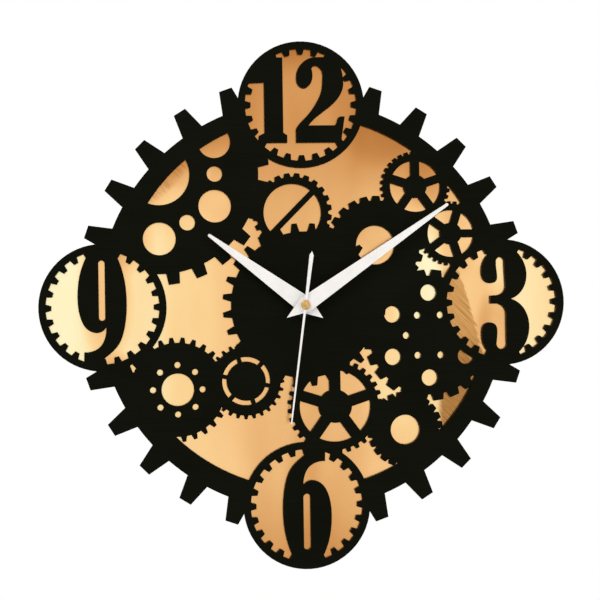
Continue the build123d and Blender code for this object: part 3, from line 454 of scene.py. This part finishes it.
def black_plastic():
    """The movement's housing."""
    low, high = (0.011, 0.011, 0.012, 1), (0.021, 0.021, 0.022, 1)
    return moulded("black_plastic", low, high, roughness=0.5, grain=0.00035, depth=0.00004)


def knob_plastic():
    """The setting knob, greyer and smoother than the housing."""
    low, high = (0.034, 0.034, 0.036, 1), (0.052, 0.052, 0.055, 1)
    return moulded("knob_plastic", low, high, roughness=0.42, grain=0.0006, depth=0.00002)


def wheel_plastic():
    """The natural white of the wheels and of the printed marks."""
    low, high = tint(226, 221, 206), tint(239, 235, 223)
    return moulded("wheel_plastic", low, high, roughness=0.4, grain=0.0012, depth=0.00001)


def magnet():
    """Dull grey sintered magnet with dark pits."""
    f = Finish("magnet", Specular_IOR_Level=0.4)
    speck = f.noise(0.0003, 4.0)
    colour = f.ramp(speck, (0.3, (0.05, 0.05, 0.053, 1)), (0.7, (0.17, 0.17, 0.175, 1)))
    metallic = f.spread(speck, 0.3, 0.7, 0.3, 0.6)
    return f.done(colour, f.total((speck, 0.25), 0.42), speck, 0.00003, metallic)


def stator_iron():
    """Rolled iron sheet with a bluish scale and stamped bright edges."""
    f = Finish("stator_iron")
    rolled = f.noise((0.012, 0.0002, 0.0002), 3.0)
    scale = f.noise(0.005, 4.0)
    colour = f.ramp(
        f.total((rolled, 0.5), (scale, 0.5)),
        (0.3, (0.27, 0.27, 0.3, 1)), (0.7, (0.48, 0.48, 0.5, 1)),
    )
    bright = f.edges(0.00015)
    return f.done(
        f.blend(f.math("MULTIPLY", bright, 0.6), colour, (0.7, 0.7, 0.7, 1)),
        f.total((rolled, 0.2), (scale, 0.15), 0.25), rolled, 0.00001, f.total((scale, 0.1), 0.88),
    )


def copper():
    """Enamelled copper wire, laid side by side along the coil."""
    f = Finish("copper")
    low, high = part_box("coil_winding")
    size = high - low
    along = (f.x, f.y, f.z)[max(range(3), key=lambda axis: size[axis])]
    turns = f.waves(f.total(along, (f.noise(0.001), 0.00003)), 0.00012)
    shade = f.noise(0.002, 3.0)
    colour = f.ramp(
        f.total((turns, 0.6), (shade, 0.4)),
        (0.2, (0.2, 0.055, 0.02, 1)), (0.55, (0.58, 0.22, 0.09, 1)), (0.85, (0.76, 0.36, 0.17, 1)),
    )
    return f.done(colour, f.total((shade, 0.2), 0.18), turns, 0.00005, f.total((turns, 0.1), 0.85))


def board():
    """Green lacquered laminate with its glass weave and the tracks under the lacquer."""
    f = Finish("board", Specular_IOR_Level=0.45)
    weave = f.math("MULTIPLY", f.waves(f.x, 0.0006), f.waves(f.z, 0.0006))
    tracks = f.spread(f.cells((0.0032, 1.0, 0.0009)), 0.62, 0.7)
    cloud = f.noise(0.006, 3.0)
    green = f.ramp(
        f.total((weave, 0.35), (cloud, 0.65)),
        (0.25, (0.012, 0.075, 0.03, 1)), (0.75, (0.03, 0.15, 0.06, 1)),
    )
    return f.done(
        f.blend(f.math("MULTIPLY", tracks, 0.6), green, (0.09, 0.26, 0.08, 1)),
        f.total((cloud, 0.15), 0.24), f.total((tracks, 0.7), (weave, 0.3)), 0.00003,
    )


def chip():
    """Black potting resin with fine filler specks."""
    f = Finish("chip", Specular_IOR_Level=0.4)
    filler = f.noise(0.00025, 3.0)
    colour = f.ramp(filler, (0.35, (0.009, 0.009, 0.01, 1)), (0.7, (0.03, 0.03, 0.031, 1)))
    return f.done(colour, f.total((filler, 0.25), 0.3), f.noise(0.0015, 2.0), 0.00008)


def drawn_metal(name, low, high, lines, roughness):
    """Plated sheet metal with drawing lines and stains."""
    f = Finish(name)
    drawn = f.noise(lines, 3.0)
    stain = f.noise(0.003, 4.0)
    colour = f.ramp(f.total((drawn, 0.5), (stain, 0.5)), (0.3, low), (0.7, high))
    return f.done(
        colour, f.total((drawn, 0.12), (stain, 0.16), roughness - 0.12), drawn, 0.000008,
        f.total((stain, 0.08), 0.9), 0.0001,
    )


def crystal_can():
    """The bright can of the quartz crystal, drawn along its length."""
    low, high = (0.5, 0.5, 0.51, 1), (0.7, 0.7, 0.71, 1)
    return drawn_metal("crystal_can", low, high, lines=(0.008, 0.0002, 0.0002), roughness=0.24)


def contact_steel():
    """The battery's contacts, with a warm nickel plate."""
    low, high = (0.46, 0.45, 0.43, 1), (0.66, 0.65, 0.62, 1)
    return drawn_metal("contact_steel", low, high, lines=(0.0002, 0.0002, 0.006), roughness=0.3)


def battery_can():
    """A steel can in a slate grey sleeve with a pale band and a thin ring, bare at both ends."""
    f = Finish("battery_can")
    low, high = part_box("battery")
    middle = (low + high) / 2
    place = f.math("DIVIDE", f.math("SUBTRACT", f.x, low.x), high.x - low.x)
    from_axis = f.distance((f.y, middle.y), (f.z, middle.z))
    sleeve = f.math("GREATER_THAN", from_axis, (high.z - low.z) / 2 - 0.0007)
    rub = f.noise((0.02, 0.002, 0.002), 4.0)
    slate = f.ramp(rub, (0.3, (0.026, 0.034, 0.045, 1)), (0.7, (0.045, 0.057, 0.072, 1)))
    pale = f.ramp(rub, (0.3, tint(188, 192, 194)), (0.7, tint(214, 217, 218)))
    bands = f.math("MAXIMUM", f.band(place, 0.78, 0.075), f.band(place, 0.67, 0.008))
    wear = f.math("MULTIPLY", f.spread(f.noise((0.0012, 0.004, 0.004), 5.0), 0.68, 0.76), 0.5)
    printed = f.blend(bands, slate, pale)
    steel = f.ramp(f.noise(0.003, 4.0), (0.3, (0.5, 0.5, 0.5, 1)), (0.7, (0.68, 0.68, 0.67, 1)))
    bare = f.math("SUBTRACT", 1.0, sleeve)
    return f.done(
        f.blend(sleeve, steel, f.blend(wear, printed, (0.2, 0.21, 0.22, 1))),
        f.total((rub, 0.2), 0.2), rub, 0.00001, f.total((bare, 0.6), 0.35), 0.0003,
    )


finishes = {
    made.__name__: made() for made in (
        black_wood, gold_sheet, white_paint, brass, black_metal, zinc_steel, rubber, black_plastic,
        knob_plastic, wheel_plastic, magnet, stator_iron, copper, board, chip, crystal_can, battery_can,
        contact_steel,
    )
}
for part in frame["record"]["subparts"]:
    surface = nodes[part["node"]].data
    surface.materials.clear()
    surface.materials.append(finishes[part["material_slot"]])


def scene_object(name, data):
    """A new object in the scene's collection."""
    made = bpy.data.objects.new(name, data)
    bpy.context.scene.collection.objects.link(made)
    return made


def moulded_piece(name, shape, body, slot, soft):
    """A piece of the scene from a closed mesh, with softened edges, riding on a body of the frame."""
    bmesh.ops.recalc_face_normals(shape, faces=shape.faces)
    mesh = bpy.data.meshes.new(name)
    shape.to_mesh(mesh)
    shape.free()
    mesh.materials.append(finishes[slot])
    piece = scene_object(name, mesh)
    bevel = piece.modifiers.new("soft_edges", "BEVEL")
    bevel.width = soft
    bevel.segments = 2
    bevel.limit_method = "ANGLE"
    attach(piece, body)


def loft(shape, first, last):
    """Adds a closed solid between two rings of as many points."""
    rings = [[shape.verts.new(point) for point in ring] for ring in (first, last)]
    for ring in rings:
        shape.faces.new(ring)
    for start in range(len(first)):
        pair = (start, (start + 1) % len(first))
        shape.faces.new([rings[0][i] for i in pair] + [rings[1][i] for i in reversed(pair)])


def print_on(shape, outline, face):
    """Adds a thin closed layer on a rear face, over an outline in the dial's plane."""
    levels = (face - MARK_SINK, face + MARK_HEIGHT)
    loft(shape, *[[(x, level, z) for x, z in outline] for level in levels])


def around(centre, radius, degrees):
    """A point in the dial's plane, at a distance and an angle from a centre."""
    angle = math.radians(degrees)
    return (centre[0] + radius * math.cos(angle), centre[1] + radius * math.sin(angle))


def arc(centre, radius, start, end, steps=28):
    """Points round a centre, from one angle in degrees to another."""
    return [around(centre, radius, start + (end - start) * step / steps) for step in range(steps + 1)]


def setting_arrow():
    """A curved arrow on the knob, the way it turns to move the hands on."""
    low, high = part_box("setting_knob")
    centre = ((low.x + high.x) / 2, (low.z + high.z) / 2)
    reach, half_w, head = 0.0036, 0.0004, 0.0013
    tail, neck, tip = 150, -80, -118  # degrees
    shape = bmesh.new()
    head_points = [(reach + head, neck), (reach, tip), (reach - head, neck)]
    outline = (
        arc(centre, reach + half_w, tail, neck)
        + [around(centre, radius, degrees) for radius, degrees in head_points]
        + arc(centre, reach - half_w, neck, tail)
    )
    print_on(shape, outline, high.y)
    moulded_piece("setting_arrow", shape, "knob", "wheel_plastic", MARK_SOFT)


def polarity_marks():
    """A plus and a minus sign on the movement's cover, beside the battery's ends."""
    cover_low, cover_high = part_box("movement_cover")
    battery_low, battery_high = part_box("battery")
    half_w, arm, inset, rise = 0.0005, 0.0019, 0.0042, 0.003
    level = cover_low.z + rise
    bar = [(-arm, -half_w), (arm, -half_w), (arm, half_w), (-arm, half_w)]
    cross = []
    for turn in range(4):
        for x, z in ((arm, -half_w), (arm, half_w), (half_w, half_w)):
            cross.append(((x, z), (-z, x), (-x, -z), (z, -x))[turn])
    shape = bmesh.new()
    for middle, outline in ((battery_high.x - inset, cross), (battery_low.x + inset, bar)):
        print_on(shape, [(middle + x, level + z) for x, z in outline], cover_high.y)
    moulded_piece("polarity_marks", shape, "dial", "wheel_plastic", MARK_SOFT)


def case_latches():
    """Barbed catches on the sides and the top of the case, which hold its cover."""
    low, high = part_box("movement_case")
    cover_low, cover_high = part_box("movement_cover")
    half_length, inset = 0.0035, 0.009
    # A barb's outline: how far it stands out of the wall, and how far in from the case's rear
    barb = [(-0.0002, 0.0018), (0.0005, 0.0020), (0.0006, 0.0028), (0.0002, 0.0066), (-0.0002, 0.0070)]
    level, backward, upright = Vector((1, 0, 0)), Vector((0, 1, 0)), Vector((0, 0, 1))
    places = [(upright * high.z + level * x, upright, level) for x in (low.x + inset, high.x - inset)]
    for z in (cover_low.z + inset, cover_high.z - inset):
        places.append((level * low.x + upright * z, -level, upright))
        places.append((level * high.x + upright * z, level, upright))
    shape = bmesh.new()
    for middle, out, along in places:
        rear = middle + backward * high.y
        loft(shape, *[
            [rear + out * proud + along * end - backward * depth for proud, depth in barb]
            for end in (-half_length, half_length)
        ])
    moulded_piece("case_latches", shape, "dial", "black_plastic", LATCH_SOFT)


def lamp(name, place, power):
    """A large soft square lamp that looks at the middle of the clock."""
    light = bpy.data.lights.new(name, "AREA")
    light.size = LAMP_SIZE
    light.energy = power
    holder = scene_object(name, light)
    holder.location = place
    holder.rotation_euler = (-Vector(place)).to_track_quat("-Z", "Y").to_euler()


def seen_rays(tree):
    """1 for what the camera sees, also in a reflection or through glass, and 0 for other light."""
    rays = tree.nodes.new("ShaderNodeLightPath")
    seen = rays.outputs["Is Camera Ray"]
    for kind in ("Is Glossy Ray", "Is Transmission Ray"):
        either = tree.nodes.new("ShaderNodeMath")
        either.operation = "MAXIMUM"
        tree.links.new(seen, either.inputs[0])
        tree.links.new(rays.outputs[kind], either.inputs[1])
        seen = either.outputs[0]
    return seen


def floor():
    """A pale round floor below the hanging clock, which the camera sees fade to white at its rim."""
    mesh = bpy.data.meshes.new("floor")
    plan = bmesh.new()
    bmesh.ops.create_circle(plan, cap_ends=True, radius=FLOOR_RADIUS, segments=96)
    plan.to_mesh(mesh)
    plan.free()
    ground = scene_object("floor", mesh)
    ground.location.z = FLOOR_LEVEL
    f = Finish("floor", Specular_IOR_Level=0.2)
    cloud = f.noise(0.3, 3.0)
    f.done(
        f.ramp(cloud, (0.3, tint(243, 243, 242)), (0.7, tint(248, 248, 247))),
        f.total((cloud, 0.1), 0.6), f.noise(0.004, 3.0), 0.0001,
    )
    away = f.node("VectorMath", {"operation": "LENGTH"}, Vector=f.place).outputs["Value"]
    rim = f.spread(away, *[share * FLOOR_RADIUS for share in FLOOR_FADE])
    fade = f.math("MULTIPLY", rim, seen_rays(f.tree))
    white = f.node("Emission", Color=(1, 1, 1, 1), Strength=1.0)
    faded = f.node("MixShader", Fac=fade)
    f.plug(faded.inputs[1], f.shader.outputs["BSDF"])
    f.plug(faded.inputs[2], white.outputs["Emission"])
    f.plug(f.tree.nodes["Material Output"].inputs["Surface"], faded.outputs["Shader"])
    mesh.materials.append(f.material)


def surroundings():
    """White to the camera and in reflections, softer as light on the object."""
    world = bpy.data.worlds.new("studio")
    bpy.context.scene.world = world
    world.use_nodes = True
    tree = world.node_tree
    mix = tree.nodes.new("ShaderNodeMix")
    mix.data_type = "RGBA"
    tree.links.new(seen_rays(tree), mix.inputs[MIX_FACTOR])
    mix.inputs[MIX_FIRST].default_value = (WORLD_LIGHT, WORLD_LIGHT, WORLD_LIGHT, 1)
    mix.inputs[MIX_SECOND].default_value = (1, 1, 1, 1)
    tree.links.new(mix.outputs[MIX_RESULT], tree.nodes["Background"].inputs["Color"])


def camera():
    """Looks at the dial's middle from a little left of it and a little below."""
    lens = bpy.data.cameras.new("camera")
    lens.sensor_width = SENSOR_WIDTH
    lens.lens = SENSOR_WIDTH * VIEW_DISTANCE / VIEW_WIDTH
    lens.clip_start = 0.01
    holder = scene_object("camera", lens)
    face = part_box("front_panel")[0].y
    turn = Matrix.Rotation(-VIEW_YAW, 4, "Z") @ Matrix.Rotation(math.pi / 2 + VIEW_PITCH, 4, "X")
    turn = turn @ Matrix.Rotation(VIEW_ROLL, 4, "Z")
    aim = Matrix.Translation((VIEW_AIM[0], face, VIEW_AIM[1]))
    holder.matrix_world = aim @ turn @ Matrix.Translation((0, 0, VIEW_DISTANCE))
    bpy.context.scene.camera = holder


setting_arrow()
polarity_marks()
case_latches()
camera()
surroundings()
floor()
for name, place, power in LAMPS:
    lamp(name, place, power)
bpy.context.scene.view_settings.view_transform = "Standard"
